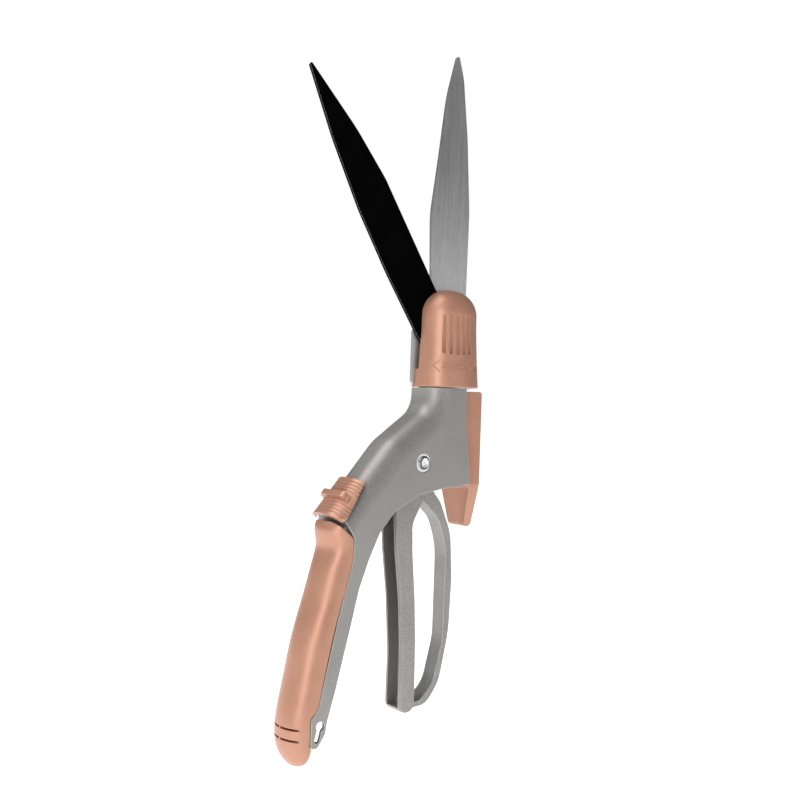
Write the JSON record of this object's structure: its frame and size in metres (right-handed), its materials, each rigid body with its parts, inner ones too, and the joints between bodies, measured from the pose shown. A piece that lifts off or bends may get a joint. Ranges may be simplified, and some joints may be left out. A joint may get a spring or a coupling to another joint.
{
  "type": "grass shears",
  "caption": "One-hand swivel grass shears: two long blades open in a V from a turning head, with a curved upper handle, a closed-loop squeeze lever, a head catch and a lock slider.",
  "frame": {"origin": "middle of the hang eye, on its axis, half way between the two cheeks of the upper handle", "axes": "+Z along the head's swivel axis towards the blade tips, +X towards the lever and the rotation catch, +Y across the tool, away from the side that carries the lever bolt's head"},
  "size_m": [0.1047, 0.0352, 0.3276],
  "materials": {
    "grey_casting": "silver-grey speckled enamel, satin",
    "copper_plastic": "copper-coloured metallic plastic, satin",
    "blade_steel": "brushed along the blade",
    "black_coating": "black non-stick coating, low sheen",
    "nickel": "bright plated",
    "zinc_steel": "zinc plated",
    "spindle_alloy": "die cast, machined",
    "spring_steel": "drawn wire",
    "bronze": "sintered bushing",
    "nylon": "natural nylon",
    "rubber": "matte"
  },
  "bodies": {
    "handle": {"frame_casting": "grey_casting", "grip_cover": "copper_plastic", "grip_screws": "zinc_steel", "neck_bush": "nylon", "thrust_washer": "nylon", "lever_bolt": "nickel", "lever_bolt_washer": "nickel", "lever_nut": "nickel", "return_spring": "spring_steel", "stop_pads": "rubber", "catch_pin": "zinc_steel", "catch_spring": "spring_steel"},
    "lever": {"lever_casting": "grey_casting", "lever_bushes": "bronze", "fork_pins": "zinc_steel", "lock_peg": "zinc_steel"},
    "head": {"swivel_spindle": "spindle_alloy", "index_ring": "zinc_steel", "retaining_ring": "zinc_steel", "fixed_blade": "blade_steel", "blade_pivot_bolt": "zinc_steel", "blade_wave_washer": "zinc_steel", "blade_pivot_nut": "zinc_steel", "blade_plate_screws": "zinc_steel", "head_front_shell": "copper_plastic", "head_rear_shell": "copper_plastic", "head_screws": "zinc_steel"},
    "pull_rod": {"draw_rod": "zinc_steel", "rod_collar": "zinc_steel", "rod_clip": "zinc_steel", "draw_link": "zinc_steel", "drive_pin": "zinc_steel"},
    "cutting_blade": {"moving_blade": "black_coating", "moving_blade_bush": "bronze"},
    "catch": {"rotation_catch": "copper_plastic", "catch_tooth": "zinc_steel"},
    "lock": {"lock_slider": "copper_plastic", "lock_bar": "zinc_steel"}
  },
  "joints": [
    {"name": "head_swivel", "type": "hinge", "parent": "handle", "child": "head", "pos_m": [0.0759, 0, 0.1473], "axis": [0, 0, 1], "continuous": true},
    {"name": "lever_squeeze", "type": "hinge", "parent": "handle", "child": "lever", "pos_m": [0.0539, 0, 0.1123], "axis": [0, 1, 0], "range_deg": [0, 13.6], "stiffness_Nm_per_rad": 1.2, "springref_deg": -20.05, "deforming": ["return_spring"]},
    {"name": "blade_swing", "type": "hinge", "parent": "head", "child": "cutting_blade", "pos_m": [0.0759, 0, 0.1683], "axis": [0.2588, 0.9659, 0], "range_deg": [0, 29]},
    {"name": "rod_pull", "type": "slide", "parent": "head", "child": "pull_rod", "axis": [0, 0, -1], "range_m": [0, 0.0052]},
    {"name": "catch_press", "type": "hinge", "parent": "handle", "child": "catch", "pos_m": [0.0829, 0, 0.1258], "axis": [0, 1, 0], "range_deg": [0, 3.5], "stiffness_Nm_per_rad": 0.4, "springref_deg": -8.59, "deforming": ["catch_spring"]},
    {"name": "lock_slide", "type": "slide", "parent": "handle", "child": "lock", "axis": [0.6644, 0, 0.7474], "range_m": [0, 0.005]}
  ],
  "couplings": [
    {"joint": "blade_swing", "follows": "lever_squeeze", "ratio": 2.1323},
    {"joint": "rod_pull", "follows": "lever_squeeze", "m_per_rad": 0.021791}
  ]
}
